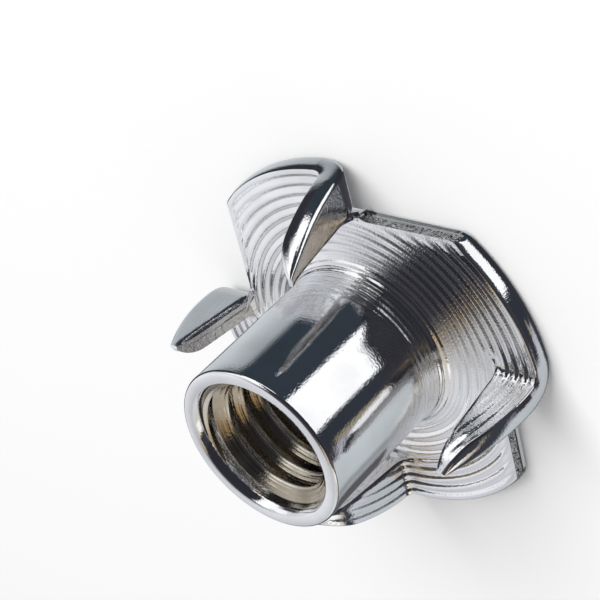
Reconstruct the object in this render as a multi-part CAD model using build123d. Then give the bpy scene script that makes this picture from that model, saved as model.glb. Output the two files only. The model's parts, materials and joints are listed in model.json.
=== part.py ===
from build123d import *
from math import cos, radians, sin, sqrt
import os

# Four-pronged tee nut, pressed from one piece of plated sheet steel.
# Frame: +Z runs along the barrel, and the origin is the middle of the flange's flat back face,
# so the nut stands on its flange with the barrel and the prongs up.

# Driving dimensions, in millimetres and degrees
thread_dia = 8.0            # outer diameter of the screw that the nut takes
barrel_wall = 1.0           # left outside the thread's roots
flange_dia = 22.0
height = 11.2               # from the flange's back face to the barrel's mouth
sheet = 1.3                 # thickness of the flange and of the prongs

# Mouth of the barrel
lead_in_flare = 0.27        # how far the lead-in opens the bore, on the radius
lead_in_depth = 0.45
mouth_round = 0.22

# Drawn neck, where the sheet turns from the flange into the barrel
neck_fillet = 0.95          # in front, between the barrel and the flange
draw_round = 1.1            # behind, at the entry of the bore

# Rings pressed into the front face
ring_count = 8
ring_depth = 0.09           # from crest to groove
rim_land = 0.3              # plain band between the last ring and the rim
rim_round = 0.3             # rolled edge of the flange's back

# Prongs, each sheared from the rim along a chord and bent up across a radial line
prong_count = 4
prong_width = 2.9           # from the chord to the rim
shear_gap = 0.2             # left between a prong and the chord that it was cut along
bend_angle = 82.0
bend_inner = 0.9            # inside radius of the bend
bend_setback = 1.0          # from the radial line back to the start of the bend
tip_width = 0.5             # what is left of the prong's width at its tip
tip_sheet = 0.25            # what is left of its thickness there
tip_curve = 2.2             # length over which it curves in to the tip

# Sizes that follow from these
bore_radius = thread_dia / 2
barrel_radius = bore_radius + barrel_wall
flange_radius = flange_dia / 2
cut_offset = flange_radius - prong_width
prong_inside = cut_offset + shear_gap
bend_outer = bend_inner + sheet


def rim_at(distance):
    # Radial reach of the round rim at a distance from the radial line
    return sqrt(flange_radius ** 2 - distance ** 2)


prong_reach = sqrt(flange_radius ** 2 - (prong_inside + tip_width) ** 2)
prong_length = prong_reach - bend_setback


def ring_points():
    # Wavy front of the flange, a groove and a crest for each ring
    first = barrel_radius + neck_fillet
    pitch = (flange_radius - rim_land - first) / ring_count
    points = [(first, sheet)]
    for index in range(ring_count):
        start = first + index * pitch
        points.append((start + pitch / 2, sheet - ring_depth))
        points.append((start + pitch, sheet))
    return points


def turned_body():
    # Barrel, neck and rippled flange from one half section, turned about the axis
    bore_entry = JernArc((bore_radius + draw_round, 0), (-1, 0), draw_round, -90)
    mouth_edge = bore_radius + lead_in_flare
    lead_in = Polyline(
        bore_entry @ 1,
        (bore_radius, height - lead_in_depth),
        (mouth_edge, height),
        (barrel_radius - mouth_round, height),
    )
    mouth = JernArc(lead_in @ 1, (1, 0), mouth_round, -90)
    side = Line(mouth @ 1, (barrel_radius, sheet + neck_fillet))
    neck = JernArc(side @ 1, (0, -1), neck_fillet, 90)
    rim = Polyline(*ring_points(), (flange_radius, sheet), (flange_radius, rim_round))
    rolled_edge = JernArc(rim @ 1, (0, -1), rim_round, -90)
    back = Line(rolled_edge @ 1, bore_entry @ 0)
    outline = Curve() + [bore_entry, lead_in, mouth, side, neck, rim, rolled_edge, back]
    section = Plane.XZ * make_face(outline)
    return revolve(section, Axis.Z)


def notch():
    # Space that a prong left in the rim when it was bent up, clockwise of the bend
    along = bend_setback + flange_radius
    across = prong_width + flange_radius
    place = Pos(cut_offset + across / 2, bend_setback - along / 2, 0)
    return place * Box(across, along, 2 * height)


def prong():
    # Bend and claw of the prong on the +X side, its clockwise face towards -Y
    width = rim_at(bend_setback) - prong_inside
    turn = radians(bend_angle)
    middle = prong_inside + width / 2
    hinge = Axis((0, bend_setback, bend_outer), (-1, 0, 0))
    root = Plane((middle, bend_setback, sheet / 2), x_dir=(1, 0, 0), z_dir=(0, -1, 0))
    bend = revolve(root * Rectangle(width, sheet), hinge, bend_angle)

    # The claw is drawn in the plane of its clockwise face, from the end of the bend to the tip
    start = Vector(0, bend_setback - bend_outer * sin(turn), bend_outer - bend_outer * cos(turn))
    face = Plane(start, x_dir=(1, 0, 0), z_dir=(0, -sin(turn), -cos(turn)))
    half_way = prong_length / 2
    outer_edge = ThreePointArc(
        (rim_at(bend_setback), 0),
        (rim_at(bend_setback + half_way), half_way),
        (prong_inside + tip_width, prong_length),
    )
    inner_edge = Polyline(
        outer_edge @ 1,
        (prong_inside, prong_length),
        (prong_inside, 0),
        outer_edge @ 0,
    )
    blade = extrude(face * make_face(Curve() + [outer_edge, inner_edge]), -sheet)

    # Seen along the radial line, the claw keeps the sheet's thickness, then curves in to its tip
    curve = TangentArc((prong_length - tip_curve, sheet), (prong_length, tip_sheet), tangent=(1, 0))
    straight = Polyline(curve @ 1, (prong_length, 0), (0, 0), (0, sheet), curve @ 0)
    side = Plane(start, x_dir=face.y_dir, z_dir=(-1, 0, 0))
    thinned = make_face(Curve() + [curve, straight])
    return bend + (blade & extrude(side * thinned, -flange_radius))


def tee_nut():
    nut = turned_body() - PolarLocations(0, prong_count) * notch()
    return nut + PolarLocations(0, prong_count) * prong()


os.makedirs("parts", exist_ok=True)
export_step(tee_nut(), "parts/tee_nut.step")
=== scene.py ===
import bmesh
import bpy
import json
from math import asin, atan2, cos, degrees, pi, radians, sin, sqrt
from mathutils import Matrix, Vector


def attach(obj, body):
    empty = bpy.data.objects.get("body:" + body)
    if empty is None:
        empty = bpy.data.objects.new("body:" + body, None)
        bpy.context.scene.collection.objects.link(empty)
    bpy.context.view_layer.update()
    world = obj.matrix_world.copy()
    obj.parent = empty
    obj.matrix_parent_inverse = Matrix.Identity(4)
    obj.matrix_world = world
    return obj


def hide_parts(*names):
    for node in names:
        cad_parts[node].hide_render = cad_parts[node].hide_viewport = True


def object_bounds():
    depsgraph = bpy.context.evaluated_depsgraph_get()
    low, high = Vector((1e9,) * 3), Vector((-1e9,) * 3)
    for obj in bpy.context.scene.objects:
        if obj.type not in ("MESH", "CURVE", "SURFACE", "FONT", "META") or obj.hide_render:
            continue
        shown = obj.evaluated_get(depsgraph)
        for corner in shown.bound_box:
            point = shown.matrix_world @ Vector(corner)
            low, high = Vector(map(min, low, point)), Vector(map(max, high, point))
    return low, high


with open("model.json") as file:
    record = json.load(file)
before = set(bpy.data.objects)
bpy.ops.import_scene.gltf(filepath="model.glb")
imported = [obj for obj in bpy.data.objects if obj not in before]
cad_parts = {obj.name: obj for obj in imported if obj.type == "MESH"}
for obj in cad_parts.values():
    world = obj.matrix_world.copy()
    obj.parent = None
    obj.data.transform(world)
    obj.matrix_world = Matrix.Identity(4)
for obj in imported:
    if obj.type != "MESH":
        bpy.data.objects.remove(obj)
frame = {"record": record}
cadLow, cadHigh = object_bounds()
print("frame loaded")

mm = 0.001                          # pieces are drawn in millimetres, then brought to metres
tiny = 0.0005                       # millimetres, for telling which side of a cut a point is on
mounts = {mount["name"]: mount for mount in frame["record"]["mounts"]}
boreRadius = mounts["thread"]["dims"]["r_mm"]
barrelRadius = mounts["barrel"]["dims"]["r_mm"]
nutHeight = cadHigh.z / mm


# Small helpers for drawing sections

def arcPoints(centre, radius, startAngle, endAngle, steps):
    turn = (endAngle - startAngle) / steps
    angles = [radians(startAngle + turn * index) for index in range(steps + 1)]
    return [(centre[0] + radius * cos(a), centre[1] + radius * sin(a)) for a in angles]


def linePoints(start, end, steps):  # the points between the two ends
    shares = [index / steps for index in range(1, steps)]
    return [tuple(a + (b - a) * share for a, b in zip(start, end)) for share in shares]


def addOutline(bm, points):
    verts = [bm.verts.new((radius, 0, level)) for radius, level in points]
    for one, other in zip(verts, verts[1:] + verts[:1]):
        bm.edges.new((one, other))
    bmesh.ops.remove_doubles(bm, verts=bm.verts, dist=tiny)


def finishPiece(bm, name, sharpAngle):
    bmesh.ops.recalc_face_normals(bm, faces=bm.faces)
    bmesh.ops.scale(bm, vec=(mm, mm, mm), verts=bm.verts)
    mesh = bpy.data.meshes.new(name)
    bm.to_mesh(mesh)
    bm.free()
    mesh.shade_smooth()
    mesh.set_sharp_from_angle(angle=radians(sharpAngle))
    piece = bpy.data.objects.new(name, mesh)
    bpy.context.scene.collection.objects.link(piece)
    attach(piece, "root")
    print(name, len(mesh.polygons), "faces")
    return piece


# Tee nut, drawn as the flat blank with its barrel, a quarter of it at a time

teeNut = {
    "flangeRadius": 11.0,
    "sheet": 1.3,
    "leadFlare": 0.27,
    "leadDepth": 0.45,
    "leadEdge": 0.04,               # softened corner between the lead-in and the mouth
    "mouthRound": 0.22,
    "mouthSteps": 6,
    "wallRows": 8,                  # rows of faces up the barrel and across the back
    "neckFillet": 0.95,
    "neckLines": 8,                 # fine ridges pressed into the neck and the barrel's foot
    "neckLineSteps": 8,
    "neckLineDepth": 0.036,
    "footHeight": 1.3,              # how far up the barrel they run
    "drawRound": 1.1,               # entry of the bore
    "drawSteps": 8,
    "ringCount": 8,
    "ringDepth": 0.09,
    "ringSteps": 10,
    "grooveSharpness": 1.5,         # over 1 the grooves are narrower than the crests
    "rimLand": 0.3,
    "rimMiddle": 0.62,              # level at which the bulging rim is widest
    "rimCurve": 1.9,
    "rimCurveSteps": 10,
    "rimFrontRound": 0.1,
    "rimFrontSteps": 5,
    "rimBackRound": 0.3,
    "rimBackSteps": 6,
    "sectorStart": -60.0,           # a quarter that holds one prong with its notch
    "sectorSteps": 90,
    "sharpAngle": 38.0,
}

prong = {
    "count": 4,
    "width": 2.9,                   # from the chord to the rim
    "shearGap": 0.2,
    "bendAngle": 82.0,
    "bendInner": 0.9,
    "setback": 1.0,                 # from the radial line back to the start of the bend
    "bendSteps": 20,
    "bendEasing": 6,                # steps over which the bend tightens and eases off
    "tipWidth": 0.5,
    "tipSheet": 0.25,
    "tipCurve": 2.2,                # length over which it curves in to the tip
    "tipSteps": 10,
    "cutMargin": 1.0,               # how far beside a cut the faces are split
    "lobeCorner": 0.9,              # rounding where the notch runs out through the rim
    "ringFade": 0.7,                # the rings die out this near to a sheared edge
    "ringLoss": 0.55,               # share of their depth that the rings lose along the prong
    "rollWidth": 0.34,              # edges drawn round by the shearing
    "frontRoll": 0.08,
    "backRoll": 0.22,
    "lobeRollWidth": 0.34,          # added to a lobe's edge by the time that it reaches the rim
    "lobeRoll": 0.06,
    "rollCuts": (0.07, 0.16, 0.26, 0.38, 0.52, 0.68),
    "web": 0.8,                     # metal left torn between a prong's root and the wall beside it
    "wallSteps": 30,
    "tornShare": 0.25,              # the prong's own sheared edge came off smoother
}

chord = teeNut["flangeRadius"] - prong["width"]
prongInside = chord + prong["shearGap"]
prongReach = sqrt(teeNut["flangeRadius"] ** 2 - (prongInside + prong["tipWidth"]) ** 2)
bendLength = 2 * prong["setback"]   # length of sheet that goes into the bend
bendRim = sqrt(teeNut["flangeRadius"] ** 2 - prong["setback"] ** 2)
wallEnd = -sqrt(teeNut["flangeRadius"] ** 2 - chord ** 2)   # where the chord meets the rim


def ringLevel(share):
    wave = 0.5 - 0.5 * cos(2 * pi * share)
    return teeNut["sheet"] - teeNut["ringDepth"] * wave ** teeNut["grooveSharpness"]


def neckPoints():                   # down the barrel's foot and round the fillet, over fine ridges
    neck, foot = teeNut["neckFillet"], teeNut["footHeight"]
    steps = teeNut["neckLines"] * teeNut["neckLineSteps"]
    points = []
    for index in range(steps + 1):
        along = (foot + neck * pi / 2) * index / steps
        wave = 0.5 - 0.5 * cos(2 * pi * index / teeNut["neckLineSteps"])
        angle = pi + max(0, along - foot) / neck
        reach = neck + teeNut["neckLineDepth"] * wave * min(1, 2 * along / foot)
        above = teeNut["sheet"] + neck + max(0, foot - along)
        points.append((barrelRadius + neck + reach * cos(angle), above + reach * sin(angle)))
    return points


def rimPoints():                    # a bulging rim between two rounded edges
    middle, curve = teeNut["rimMiddle"], teeNut["rimCurve"]
    front, back = teeNut["rimFrontRound"], teeNut["rimBackRound"]
    heart = teeNut["flangeRadius"] - curve
    upper = degrees(asin((teeNut["sheet"] - front - middle) / (curve - front)))
    lower = degrees(asin((back - middle) / (curve - back)))
    frontHeart = (heart + (curve - front) * cos(radians(upper)), teeNut["sheet"] - front)
    backHeart = (heart + (curve - back) * cos(radians(lower)), back)
    points = arcPoints(frontHeart, front, 90, upper, teeNut["rimFrontSteps"])
    points += arcPoints((heart, middle), curve, upper, lower, teeNut["rimCurveSteps"])
    points += arcPoints(backHeart, back, lower, -90, teeNut["rimBackSteps"])
    return points


def nutSection():                   # from the bore's entry up to the mouth, down and out to the rim
    drawn = teeNut["drawRound"]
    lip = teeNut["leadEdge"]
    lead = boreRadius + teeNut["leadFlare"]
    mouth = teeNut["mouthRound"]
    rows = teeNut["wallRows"]
    points = arcPoints((boreRadius + drawn, drawn), drawn, 270, 180, teeNut["drawSteps"])
    points += [(boreRadius, nutHeight - teeNut["leadDepth"])]
    points += [(lead - lip / 2, nutHeight - lip), (lead + lip, nutHeight)]
    mouthHeart = (barrelRadius - mouth, nutHeight - mouth)
    points += arcPoints(mouthHeart, mouth, 90, 0, teeNut["mouthSteps"])
    foot = teeNut["sheet"] + teeNut["neckFillet"] + teeNut["footHeight"]
    points += linePoints((barrelRadius, nutHeight - mouth), (barrelRadius, foot), rows)
    points += neckPoints()
    first = barrelRadius + teeNut["neckFillet"]
    pitch = (teeNut["flangeRadius"] - teeNut["rimLand"] - first) / teeNut["ringCount"]
    steps = teeNut["ringSteps"]
    for index in range(1, teeNut["ringCount"] * steps + 1):
        points.append((first + pitch * index / steps, ringLevel(index / steps)))
    points += rimPoints()
    points += linePoints(points[-1], (boreRadius + drawn, 0), rows)
    return points


def splitFaces(bm, point, normal, wanted):
    faces = [face for face in bm.faces if wanted(face.calc_center_median())]
    edges = dict.fromkeys(edge for face in faces for edge in face.edges)
    verts = dict.fromkeys(vert for face in faces for vert in face.verts)
    geometry = [*verts, *edges, *faces]
    bmesh.ops.bisect_plane(bm, geom=geometry, dist=tiny / 10, plane_co=point, plane_no=normal)


def joinCorner(bm, x, y):           # an upright edge where two cut walls meet
    loose = [vert for vert in bm.verts if abs(vert.co.x - x) < tiny and abs(vert.co.y - y) < tiny]
    loose.sort(key=lambda vert: vert.co.z)
    bm.edges.new((loose[0], loose[-1]))


def fillWall(bm, inWall, sheared, torn):
    loose = [edge for edge in bm.edges if len(edge.link_faces) < 2]
    loop = [edge for edge in loose if all(inWall(vert.co) for vert in edge.verts)]
    for face in bmesh.ops.edgeloop_fill(bm, edges=loop)["faces"]:
        face[sheared] = torn


def cutProng(bm, sheared):
    start, margin = prong["setback"], prong["cutMargin"]
    across, along = (1, 0, 0), (0, -1, 0)
    splitFaces(bm, (0, start, 0), along,
               lambda at: at.x > chord - margin and abs(at.y - start) < margin)
    for place in (chord, prongInside):
        splitFaces(bm, (place, 0, 0), across, lambda at: at.y < start and at.x > chord - margin)
    splitFaces(bm, (0, -prongReach, 0), along, lambda at: at.x > prongInside)
    for away in prong["rollCuts"]:
        for place in (chord - away, prongInside + away):
            splitFaces(bm, (place, 0, 0), across, lambda at: at.y < start and at.x > chord - margin)
    waste = []
    for face in bm.faces:
        at = face.calc_center_median()
        inGap = chord < at.x < prongInside and at.y < start
        if inGap or (at.x > prongInside and at.y < -prongReach):
            waste.append(face)
    bmesh.ops.delete(bm, geom=waste, context="FACES")
    for x, y in ((chord, start), (prongInside, start), (prongInside, -prongReach)):
        joinCorner(bm, x, y)
    below = start + tiny
    fillWall(bm, lambda co: abs(co.x - chord) < tiny and co.y < below, sheared, 1.0)
    for index in range(1, prong["wallSteps"]):
        line = start + (wallEnd - start) * index / prong["wallSteps"]
        splitFaces(bm, (0, line, 0), (0, 1, 0),
                   lambda at: abs(at.x - chord) < tiny and at.y < start)
    fillWall(bm, lambda co: abs(co.x - prongInside) < tiny and co.y < below,
             sheared, prong["tornShare"])
    fillWall(bm, lambda co: abs(co.y - start) < tiny and chord - tiny < co.x < prongInside + tiny,
             sheared, 1.0)
    fillWall(bm, lambda co: abs(co.y + prongReach) < tiny and co.x > prongInside - tiny,
             sheared, 0.0)


def roundCorner(bm):                # where the sheared wall runs out through the rim
    reach = prong["lobeCorner"]
    x = chord - reach
    y = -sqrt((teeNut["flangeRadius"] - reach) ** 2 - x ** 2)
    heart = Vector((x, y))
    limit = atan2(y, x)
    for vert in bm.verts:
        away = vert.co.xy - heart
        if vert.co.x < chord + tiny and away.length > reach and limit < atan2(away.y, away.x) < 0:
            vert.co.xy = heart + away * reach / away.length


def rollEdges(bm):                  # sheared edges lose their rings and are drawn round
    start = prong["setback"]
    sheet = teeNut["sheet"]
    middle = sheet / 2
    plain = sheet - teeNut["ringDepth"] / 3     # level of the sheet where the rings have died out
    ringed = teeNut["flangeRadius"] - teeNut["rimLand"]
    for vert in bm.verts:
        outside = vert.co.x > prongInside - tiny
        away = vert.co.x - prongInside if outside else chord - vert.co.x
        away = max(away, vert.co.y - start)
        radius = vert.co.xy.length
        if vert.co.z > sheet + tiny or radius < chord - 2 * prong["ringFade"]:
            continue
        keep = min(1, away / prong["ringFade"])
        width, depth = prong["rollWidth"], prong["frontRoll"]
        if outside:
            keep *= 1 - prong["ringLoss"] * min(1, max(0, (start - vert.co.y) / bendLength))
        else:
            share = max(0, (start - vert.co.y) / (start - wallEnd))
            width += prong["lobeRollWidth"] * share
            depth += prong["lobeRoll"] * share
        if vert.co.z > middle:
            if radius < ringed + tiny:
                vert.co.z = plain + (vert.co.z - plain) * keep
            roll = max(0, 1 - away / width) ** (2 if outside else 1)
            vert.co.z -= depth * roll * (vert.co.z - middle) / middle
        else:
            roll = max(0, 1 - away / prong["rollWidth"]) ** 2
            vert.co.z += prong["backRoll"] * roll * (middle - vert.co.z) / middle


def tearWeb(bm):                    # the slit ends in a torn web at the root of the prong
    start, reach = prong["setback"], prong["web"]
    root = start - bendLength
    for vert in bm.verts:
        if abs(vert.co.x - chord) > tiny or not root - reach < vert.co.y < start - tiny:
            continue
        if vert.co.y < root:
            vert.co.x += reach - sqrt(reach ** 2 - (reach - root + vert.co.y) ** 2)
        else:
            vert.co.x += reach * (start - vert.co.y) / (start - root)


def bendProng(bm, flat):
    start = prong["setback"]
    steps, easing = prong["bendSteps"], prong["bendEasing"]
    lines = [start - bendLength * index / steps for index in range(steps + 1)]
    thinFrom, tipSteps = prongReach - prong["tipCurve"], prong["tipSteps"]
    tipLines = [-thinFrom - prong["tipCurve"] * index / tipSteps for index in range(tipSteps)]
    for line in lines[1:] + tipLines:
        splitFaces(bm, (0, line, 0), (0, -1, 0), lambda at: at.x > prongInside and at.y < start)
    for vert in bm.verts:           # radius, place along the prong and height in the flat blank
        vert[flat] = Vector((vert.co.xy.length, vert.co.y, vert.co.z)) * mm
    blade = [v for v in bm.verts if v.co.x > prongInside - tiny and v.co.y < start - tiny]
    lost = teeNut["sheet"] - prong["tipSheet"]
    sweep = (prong["tipCurve"] ** 2 + lost ** 2) / (2 * lost)   # radius of the curve to the tip
    for vert in blade:
        rim = sqrt(teeNut["flangeRadius"] ** 2 - vert.co.y ** 2)
        if rim > bendRim:           # no wider than where the bend starts
            away = vert.co.x - prongInside
            vert.co.x = prongInside + away * (bendRim - prongInside) / (rim - prongInside)
        over = max(0, -vert.co.y - thinFrom)
        vert.co.z *= 1 - (sweep - sqrt(sweep ** 2 - over ** 2)) / teeNut["sheet"]
    turn = radians(prong["bendAngle"])
    neutral = prong["bendInner"] + teeNut["sheet"] - bendLength / turn
    shares = [min(1, (index + 0.5) / easing, (steps - index - 0.5) / easing) for index in range(steps)]
    for index in reversed(range(steps)):
        line = lines[index]
        beyond = [vert for vert in blade if vert[flat].y < (line - tiny) * mm]
        roll = Matrix.Rotation(-turn * shares[index] / sum(shares), 3, "X")
        bmesh.ops.rotate(bm, cent=(0, line, neutral), matrix=roll, verts=beyond)


def makeNut():
    bm = bmesh.new()
    sheared = bm.faces.layers.float.new("sheared")
    flat = bm.verts.layers.float_vector.new("flatPlace")
    addOutline(bm, nutSection())
    quarter = 2 * pi / prong["count"]
    lead = Matrix.Rotation(radians(teeNut["sectorStart"]), 3, "Z")
    bmesh.ops.rotate(bm, cent=(0, 0, 0), matrix=lead, verts=bm.verts)
    bmesh.ops.spin(bm, geom=[*bm.verts, *bm.edges], cent=(0, 0, 0), axis=(0, 0, 1), dvec=(0, 0, 0),
                   angle=quarter, steps=teeNut["sectorSteps"], use_merge=False, use_duplicate=False)
    cutProng(bm, sheared)
    roundCorner(bm)
    rollEdges(bm)
    tearWeb(bm)
    bendProng(bm, flat)
    sector = [*bm.verts, *bm.edges, *bm.faces]
    for index in range(1, prong["count"]):
        copied = bmesh.ops.duplicate(bm, geom=sector)["geom"]
        verts = [item for item in copied if isinstance(item, bmesh.types.BMVert)]
        turn = Matrix.Rotation(quarter * index, 3, "Z")
        bmesh.ops.rotate(bm, cent=(0, 0, 0), matrix=turn, verts=verts)
    bmesh.ops.remove_doubles(bm, verts=bm.verts, dist=tiny / 5)
    return finishPiece(bm, "teeNut", teeNut["sharpAngle"])


# Thread, a ridge wound up the bore

thread = {
    "pitch": 1.25,
    "depth": 0.68,
    "crestWidth": 0.14,
    "crestRound": 0.05,
    "baseWidth": 1.09,
    "sunk": 0.03,                   # how far the ridge's foot lies in the wall
    "firstTurn": 1.66,              # height of the ridge's middle where it starts
    "stepsInTurn": 96,
    "endSlope": 1.0,                # cone that cuts the first and last turns
    "sharpAngle": 32.0,
}


def makeThread():
    bm = bmesh.new()
    flat = bm.verts.layers.float_vector.new("flatPlace")
    foot = boreRadius + thread["sunk"]
    crest = boreRadius - thread["depth"]
    base, flank, soft = thread["baseWidth"] / 2, thread["crestWidth"] / 2, thread["crestRound"]
    low = thread["firstTurn"]
    outline = [(foot, -base), (crest + soft, -flank - soft / 2), (crest, -flank + soft)]
    outline += [(radius, -level) for radius, level in reversed(outline)]
    addOutline(bm, [(radius, level + low) for radius, level in outline])
    for vert in bm.verts:           # set before the spin, so that press lines climb with the ridge
        vert[flat] = vert.co * mm
    top = nutHeight - teeNut["leadDepth"]
    turns = (top + base - low) / thread["pitch"]
    steps = int(turns * thread["stepsInTurn"])
    rise = thread["pitch"] / thread["stepsInTurn"]
    ends = list(bm.edges)
    bmesh.ops.spin(bm, geom=[*bm.verts, *bm.edges], cent=(0, 0, 0), axis=(0, 0, 1), dvec=(0, 0, rise),
                   angle=2 * pi * steps / thread["stepsInTurn"], steps=steps,
                   use_merge=False, use_duplicate=False)
    bmesh.ops.edgeloop_fill(bm, edges=ends)
    bmesh.ops.edgeloop_fill(bm, edges=[edge for edge in bm.edges if edge.is_boundary])
    for vert in bm.verts:           # the lead-in and the bore's entry cut the end turns to a cone
        vert.co.z = min(vert.co.z, top)
        fromMouth = boreRadius - (top - vert.co.z) * thread["endSlope"]
        fromEntry = foot - (vert.co.z - teeNut["drawRound"]) * thread["endSlope"]
        radius = vert.co.xy.length
        wanted = min(foot, max(radius, fromMouth, fromEntry))
        vert.co.x *= wanted / radius
        vert.co.y *= wanted / radius
    return finishPiece(bm, "thread", thread["sharpAngle"])


# Small helpers for shader nodes

def addNode(tree, kind, **settings):
    node = tree.nodes.new(kind)
    for name, value in settings.items():
        setattr(node, name, value)
    return node


def feed(tree, value, socket):      # a node's output is linked, and a plain value is set
    if isinstance(value, bpy.types.NodeSocket):
        tree.links.new(value, socket)
    else:
        socket.default_value = value


def setMath(tree, operation, *values):
    node = addNode(tree, "ShaderNodeMath", operation=operation)
    for value, socket in zip(values, node.inputs):
        feed(tree, value, socket)
    return node.outputs[0]


def mapRange(tree, value, fromLow, fromHigh, toLow=0.0, toHigh=1.0, smooth=True):
    node = addNode(tree, "ShaderNodeMapRange", clamp=True)
    node.interpolation_type = "SMOOTHSTEP" if smooth else "LINEAR"
    for item, socket in zip((value, fromLow, fromHigh, toLow, toHigh), node.inputs):
        feed(tree, item, socket)
    return node.outputs[0]


def mixColour(tree, share, first, second):
    node = addNode(tree, "ShaderNodeMix", data_type="RGBA")
    for value, index in ((share, 0), (first, 6), (second, 7)):      # its colour sockets
        feed(tree, value, node.inputs[index])
    return node.outputs[2]


def splitVector(tree, vector):
    node = addNode(tree, "ShaderNodeSeparateXYZ")
    feed(tree, vector, node.inputs[0])
    return node.outputs


def addNoise(tree, coordinates, scale, detail=2.0, roughness=0.5):
    node = addNode(tree, "ShaderNodeTexNoise")
    feed(tree, coordinates, node.inputs["Vector"])
    feed(tree, scale, node.inputs["Scale"])
    feed(tree, detail, node.inputs["Detail"])
    feed(tree, roughness, node.inputs["Roughness"])
    return node.outputs["Fac"]


def addBump(tree, height, distance, normal=None):
    node = addNode(tree, "ShaderNodeBump")
    feed(tree, height, node.inputs["Height"])
    feed(tree, distance, node.inputs["Distance"])
    if normal is not None:
        feed(tree, normal, node.inputs["Normal"])
    return node.outputs["Normal"]


def newGroup(name, inputs, outputs):
    group = bpy.data.node_groups.new(name, "ShaderNodeTree")
    for side, sockets in (("INPUT", inputs), ("OUTPUT", outputs)):
        for socket, kind in sockets.items():
            group.interface.new_socket(name=socket, in_out=side, socket_type="NodeSocket" + kind)
    return group, addNode(group, "NodeGroupInput").outputs, addNode(group, "NodeGroupOutput").inputs


def placeGroup(tree, group, **values):
    node = addNode(tree, "ShaderNodeGroup", node_tree=group)
    for name, value in values.items():
        feed(tree, value, node.inputs[name])
    return node.outputs


def newMaterial(name):
    material = bpy.data.materials.new(name)
    material.use_nodes = True
    return material, material.node_tree, material.node_tree.nodes["Principled BSDF"].inputs


# Plating, two effects that the sheet and the bore share

plating = {                         # sizes in metres, scales for each metre
    "cloudScale": 300.0,            # patches of about 3 mm
    "cloudDetail": 4.0,
    "dullClouds": (0.35, 0.7),
    "hazyClouds": (0.3, 0.75),
    "smooth": 0.03,                 # roughness of the clear plating and of the hazy patches
    "hazy": 0.075,
    "grainScale": 9000.0,           # fine grain of the plating
    "grainDepth": 0.000005,
    "speckDepth": 0.000006,
    "lineScale": 6000.0,            # lines left by the press
}


def makeClouding():                 # patches where the plating is duller and hazier
    group, given, made = newGroup("clouding", {"place": "Vector", "pale": "Color", "dull": "Color"},
                                  {"colour": "Color", "haze": "Float", "clouds": "Float"})
    clouds = addNoise(group, given["place"], plating["cloudScale"], plating["cloudDetail"])
    dulled = mapRange(group, clouds, *plating["dullClouds"])
    hazed = mapRange(group, clouds, *plating["hazyClouds"], plating["smooth"], plating["hazy"])
    feed(group, mixColour(group, dulled, given["pale"], given["dull"]), made["colour"])
    feed(group, hazed, made["haze"])
    feed(group, clouds, made["clouds"])
    return group


def makeGrain():                    # grain all over, with press lines and specks where it is lined
    group, given, made = newGroup("grain", {"place": "Vector", "flat": "Vector", "lined": "Float",
                                            "lineDepth": "Float"}, {"normal": "Vector"})
    parts = splitVector(group, given["flat"])
    turned = addNode(group, "ShaderNodeCombineXYZ")     # the same all the way round
    feed(group, parts["X"], turned.inputs["X"])
    feed(group, parts["Z"], turned.inputs["Z"])
    lines = addNoise(group, turned.outputs[0], plating["lineScale"])
    grain = addNoise(group, given["place"], plating["grainScale"])
    ridges = setMath(group, "MULTIPLY", lines, given["lined"])
    specks = setMath(group, "MULTIPLY", grain, given["lined"])
    normal = addBump(group, grain, plating["grainDepth"])
    normal = addBump(group, ridges, given["lineDepth"], normal)
    feed(group, addBump(group, specks, plating["speckDepth"], normal), made["normal"])
    return group


# Plated steel of the sheet, with torn metal on its sheared walls

sheetFinish = {
    "pale": (0.83, 0.84, 0.86, 1),
    "dull": (0.74, 0.74, 0.75, 1),
    "raw": (0.62, 0.61, 0.6, 1),    # sheared edges, where the plating is thin
    "lineDepth": 0.000008,
    "lineHeights": (0.0026, 0.0036),        # the press lines stay round the neck and the rings
    "lineRadii": (0.0106, 0.0108),  # the rim has none
    "fracture": 0.06,               # added roughness of the torn edges
    "fractureScale": 2800.0,
    "fractureRoughness": 0.6,       # of the noise that tears them
    "fractureDepth": 0.0003,
    "fractureHeights": (0.00046, 0.0006),
}


def sheetPlating(cloudGroup, grainGroup):
    material, tree, surface = newMaterial("platedSteel")
    place = addNode(tree, "ShaderNodeTexCoord").outputs["Object"]
    flat = addNode(tree, "ShaderNodeAttribute", attribute_name="flatPlace").outputs["Vector"]
    cut = addNode(tree, "ShaderNodeAttribute", attribute_name="sheared").outputs["Fac"]
    parts = splitVector(tree, flat)
    radius, height = parts["X"], parts["Z"]
    plate = placeGroup(tree, cloudGroup, place=place, pale=sheetFinish["pale"], dull=sheetFinish["dull"])
    low = mapRange(tree, height, *sheetFinish["lineHeights"], 1.0, 0.0)
    inside = mapRange(tree, radius, *sheetFinish["lineRadii"], 1.0, 0.0)
    lined = setMath(tree, "MULTIPLY", low, inside)
    pressed = placeGroup(tree, grainGroup, place=place, flat=flat, lined=lined,
                         lineDepth=sheetFinish["lineDepth"])
    torn = setMath(tree, "MULTIPLY", cut, mapRange(tree, height, *sheetFinish["fractureHeights"]))
    cracks = addNoise(tree, place, sheetFinish["fractureScale"],
                      roughness=sheetFinish["fractureRoughness"])
    cracks = setMath(tree, "MULTIPLY", cracks, torn)
    normal = addBump(tree, cracks, sheetFinish["fractureDepth"], pressed["normal"])
    bare = mapRange(tree, cut, 0.0, prong["tornShare"])
    rough = setMath(tree, "MULTIPLY_ADD", torn, sheetFinish["fracture"], plate["haze"])
    surface["Metallic"].default_value = 1.0
    feed(tree, mixColour(tree, bare, plate["colour"], sheetFinish["raw"]), surface["Base Color"])
    feed(tree, rough, surface["Roughness"])
    feed(tree, normal, surface["Normal"])
    return material


# Plated steel of the bore, warm and darkened as painted shade inside the bore, worn rougher along the
# thread's crests and paler there as a painted highlight

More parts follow.
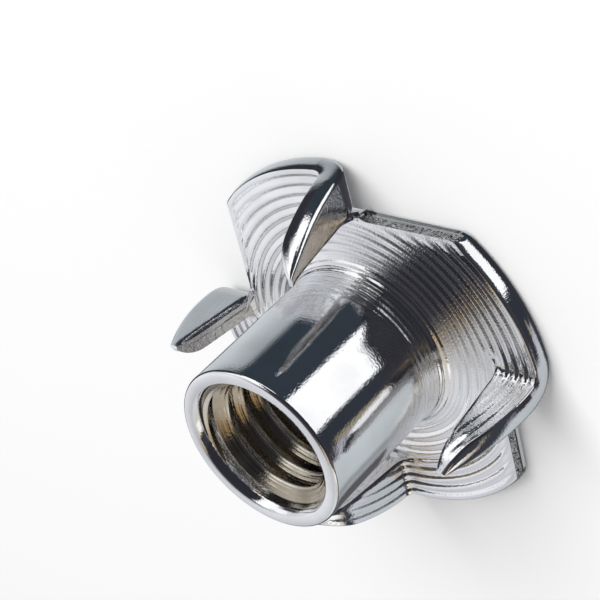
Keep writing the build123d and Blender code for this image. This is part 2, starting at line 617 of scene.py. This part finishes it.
boreFinish = {
    # warm colours kept darker than the sheet's: painted shade inside the bore
    "pale": (0.5, 0.45, 0.37, 1),
    "dull": (0.27, 0.24, 0.19, 1),
    "lineDepth": 0.00003,
    "linedClouds": (0.2, 0.5),      # the press lines come and go with the clouds
    "linedShares": (0.3, 1.0),
    # paler crests: a painted highlight where they catch light
    "crest": (0.72, 0.69, 0.63, 1),
    "crestWear": 0.22,              # added roughness of the crests
    "crestRadii": (0.00332, 0.00342),
}


def borePlating(cloudGroup, grainGroup):
    material, tree, surface = newMaterial("boreSteel")
    place = addNode(tree, "ShaderNodeTexCoord").outputs["Object"]
    flat = addNode(tree, "ShaderNodeAttribute", attribute_name="flatPlace").outputs["Vector"]
    radius = splitVector(tree, flat)["X"]
    plate = placeGroup(tree, cloudGroup, place=place, pale=boreFinish["pale"], dull=boreFinish["dull"])
    lined = mapRange(tree, plate["clouds"], *boreFinish["linedClouds"], *boreFinish["linedShares"])
    pressed = placeGroup(tree, grainGroup, place=place, flat=flat, lined=lined,
                         lineDepth=boreFinish["lineDepth"])
    # the crests' mask: rougher for wear, and paler as a painted highlight
    crestWearAndHighlight = mapRange(tree, radius, *boreFinish["crestRadii"], 1.0, 0.0)
    rough = setMath(tree, "MULTIPLY_ADD", crestWearAndHighlight, boreFinish["crestWear"], plate["haze"])
    surface["Metallic"].default_value = 1.0
    feed(tree, mixColour(tree, crestWearAndHighlight, plate["colour"], boreFinish["crest"]), surface["Base Color"])
    feed(tree, rough, surface["Roughness"])
    feed(tree, pressed["normal"], surface["Normal"])
    return material


nutPiece = makeNut()
threadPiece = makeThread()
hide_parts("tee_nut")
cloudGroup = makeClouding()
grainGroup = makeGrain()
nutPiece.data.materials.append(sheetPlating(cloudGroup, grainGroup))
threadPiece.data.materials.append(borePlating(cloudGroup, grainGroup))
print("nut and thread plated")


# Floor, lamps and the studio that the plating mirrors

studio = {
    "floorSize": 3.0,
    "floorDrop": 0.00002,
    "floorColour": (0.9, 0.9, 0.9, 1),
    "floorRoughness": 0.9,
    "skyLight": 0.54,
    "keyPower": 3.4,
    "keySize": 0.5,
    "keyFrom": (8.0, 46.0),         # azimuth and elevation, in degrees
    "keyDistance": 0.6,
}

mirrored = {                        # what the plating sees, by azimuth from +X, in degrees
    "under": [(-180, (0.06, 0.06, 0.07)), (-60, (0.035, 0.035, 0.045)), (40, (0.035, 0.035, 0.045)),
              (62, (0.55, 0.57, 0.58)), (125, (0.6, 0.62, 0.63)), (146, (0.08, 0.08, 0.09)),
              (180, (0.06, 0.06, 0.07))],
    "low": [(-180, (0.1, 0.1, 0.11)), (-176, (0.4, 0.42, 0.43)), (-165, (0.3, 0.32, 0.33)),
            (-158, (0.55, 0.59, 0.61)), (-126, (0.62, 0.66, 0.68)), (-112, (0.5, 0.49, 0.55)),
            (-107, (0.46, 0.45, 0.5)), (-105, (0.036, 0.04, 0.054)), (40, (0.036, 0.05, 0.064)),
            (50, (0.4, 0.43, 0.45)), (90, (0.62, 0.66, 0.68)), (135, (0.69, 0.72, 0.74)),
            (152, (0.12, 0.12, 0.13)), (180, (0.1, 0.1, 0.11))],
    "high": [(-180, (0.8, 0.8, 0.81)), (-152, (0.74, 0.71, 0.66)), (-116, (0.68, 0.58, 0.44)),
             (-105, (0.03, 0.03, 0.038)), (14, (0.03, 0.032, 0.04)), (40, (0.75, 0.76, 0.78)),
             (70, (0.85, 0.86, 0.88)), (100, (1.0, 1.0, 1.02)), (128, (0.86, 0.87, 0.9)),
             (150, (0.62, 0.63, 0.66)), (180, (0.8, 0.8, 0.81))],
    "horizon": (0.05, 0.053, 0.064, 1),
    "top": (0.06, 0.06, 0.07, 1),
    "underToLow": (-50.0, -44.0),   # elevations between which one gives way to the next
    "lowToHorizon": (-16.0, -9.0),
    "horizonToHigh": (1.0, 7.0),
    "highToTop": (46.0, 76.0),
}

cards = {                           # hung in front of it, later ones over earlier ones
    "softbox": {"azimuths": (-77, -26), "elevations": (-42, -12), "edge": 0.5,
                "colour": (1.25, 1.25, 1.25, 1)},
    "strip": {"azimuths": (-12, 31), "elevations": (-8, 7), "edge": 1.5,
              "colour": (1.3, 1.3, 1.3, 1)},
    "tallStrip": {"azimuths": (8, 34), "elevations": (6, 52), "edge": 1.5,
                  "colour": (1.3, 1.3, 1.3, 1)},
    "lowFlag": {"azimuths": (42, 115), "elevations": (-27, 4), "edge": 3.0,
                "colour": (0.035, 0.035, 0.045, 1)},
    "sideFlag": {"azimuths": (40, 68), "elevations": (-27, 13), "edge": 3.0,
                 "colour": (0.035, 0.035, 0.045, 1)},
    "tan": {"azimuths": (-106, -99), "elevations": (-37, -32), "edge": 1.0,
            "colour": (0.4, 0.35, 0.24, 1)},
    "window": {"azimuths": (28, 56), "elevations": (17, 36), "edge": 2.0,
               "colour": (1.2, 1.2, 1.2, 1)},
    "grooveFlag": {"azimuths": (-118, -100), "elevations": (-30, -14), "edge": 1.5,
                   "colour": (0.045, 0.042, 0.05, 1)},
    "edgeFlag": {"azimuths": (-125, -104), "elevations": (6, 42), "edge": 1.5,
                 "colour": (0.05, 0.05, 0.062, 1)},
    "tipGlint": {"azimuths": (-144, -127), "elevations": (12, 32), "edge": 1.5,
                 "colour": (1.15, 1.15, 1.15, 1)},
    "bronze": {"azimuths": (-138, -107), "elevations": (44, 60), "edge": 3.0,
               "colour": (0.78, 0.55, 0.28, 1)},
}


def direction(azimuth, elevation):
    a, e = radians(azimuth), radians(elevation)
    return Vector((cos(e) * cos(a), cos(e) * sin(a), sin(e)))


def makeFloor():
    bm = bmesh.new()
    bmesh.ops.create_grid(bm, x_segments=1, y_segments=1, size=studio["floorSize"] / 2)
    bmesh.ops.translate(bm, vec=(0, 0, -studio["floorDrop"]), verts=bm.verts)
    mesh = bpy.data.meshes.new("floor")
    bm.to_mesh(mesh)
    bm.free()
    floor = bpy.data.objects.new("floor", mesh)
    bpy.context.scene.collection.objects.link(floor)
    material, tree, surface = newMaterial("floorPaper")
    surface["Base Color"].default_value = studio["floorColour"]
    surface["Roughness"].default_value = studio["floorRoughness"]
    surface["Specular IOR Level"].default_value = 0.0
    mesh.materials.append(material)
    floor.visible_glossy = False    # the plating mirrors the studio instead


def makeLamp():
    data = bpy.data.lights.new("key", "AREA")
    data.energy = studio["keyPower"]
    data.size = studio["keySize"]
    lamp = bpy.data.objects.new("key", data)
    toLamp = direction(*studio["keyFrom"])
    lamp.location = toLamp * studio["keyDistance"]
    lamp.rotation_euler = toLamp.to_track_quat("Z", "Y").to_euler()
    lamp.visible_glossy = False
    bpy.context.scene.collection.objects.link(lamp)


def within(tree, value, low, high, edge):
    above = mapRange(tree, value, radians(low - edge), radians(low + edge), smooth=False)
    below = mapRange(tree, value, radians(high - edge), radians(high + edge), 1.0, 0.0, smooth=False)
    return setMath(tree, "MULTIPLY", above, below)


def ringRamp(tree, share, stops):
    ramp = addNode(tree, "ShaderNodeValToRGB")
    feed(tree, share, ramp.inputs[0])
    elements = ramp.color_ramp.elements
    for index, (angle, colour) in enumerate(stops):
        place = (angle + 180) / 360
        stop = elements[index] if index < 2 else elements.new(place)    # a new ramp has two stops
        stop.position = place
        stop.color = (*colour, 1)
    return ramp.outputs[0]


def makeWorld():
    world = bpy.data.worlds.new("studio")
    bpy.context.scene.world = world
    world.use_nodes = True
    tree = world.node_tree
    x, y, z = splitVector(tree, addNode(tree, "ShaderNodeTexCoord").outputs["Generated"])
    azimuth = setMath(tree, "ARCTAN2", y, x)
    elevation = setMath(tree, "ARCSINE", z)
    around = mapRange(tree, azimuth, -pi, pi, smooth=False)
    colour = ringRamp(tree, around, mirrored["under"])
    layers = {
        "underToLow": ringRamp(tree, around, mirrored["low"]),
        "lowToHorizon": mirrored["horizon"],
        "horizonToHigh": ringRamp(tree, around, mirrored["high"]),
        "highToTop": mirrored["top"],
    }
    for name, layer in layers.items():
        low, high = (radians(angle) for angle in mirrored[name])
        colour = mixColour(tree, mapRange(tree, elevation, low, high), colour, layer)
    for card in cards.values():
        across = within(tree, azimuth, *card["azimuths"], card["edge"])
        up = within(tree, elevation, *card["elevations"], card["edge"])
        colour = mixColour(tree, setMath(tree, "MULTIPLY", across, up), colour, card["colour"])
    glossy = addNode(tree, "ShaderNodeLightPath").outputs["Is Glossy Ray"]
    plain = (studio["skyLight"],) * 3 + (1,)
    feed(tree, mixColour(tree, glossy, plain, colour), tree.nodes["Background"].inputs["Color"])


makeFloor()
makeLamp()
makeWorld()
print("studio set")


# Camera, at the photograph's viewing angle

view = {
    "place": (60.952, -60.345, 63.241),
    "forward": (-0.55171, 0.60253, -0.57669),
    "roll": 133.2,                  # the barrel points down and to the left in the picture
    "lens": 116.93,
    "sensor": 36.0,
    "clipStart": 0.005,
}


def makeCamera():
    data = bpy.data.cameras.new("camera")
    data.lens = view["lens"]
    data.sensor_width = view["sensor"]
    data.clip_start = view["clipStart"]
    camera = bpy.data.objects.new("camera", data)
    level = Vector(view["forward"]).to_track_quat("-Z", "Y").to_matrix()
    turn = Matrix.Rotation(-radians(view["roll"]), 3, "Z")
    camera.matrix_world = Matrix.Translation(Vector(view["place"]) * mm) @ (level @ turn).to_4x4()
    bpy.context.scene.collection.objects.link(camera)
    bpy.context.scene.camera = camera


makeCamera()
bpy.context.scene.view_settings.view_transform = "Standard"
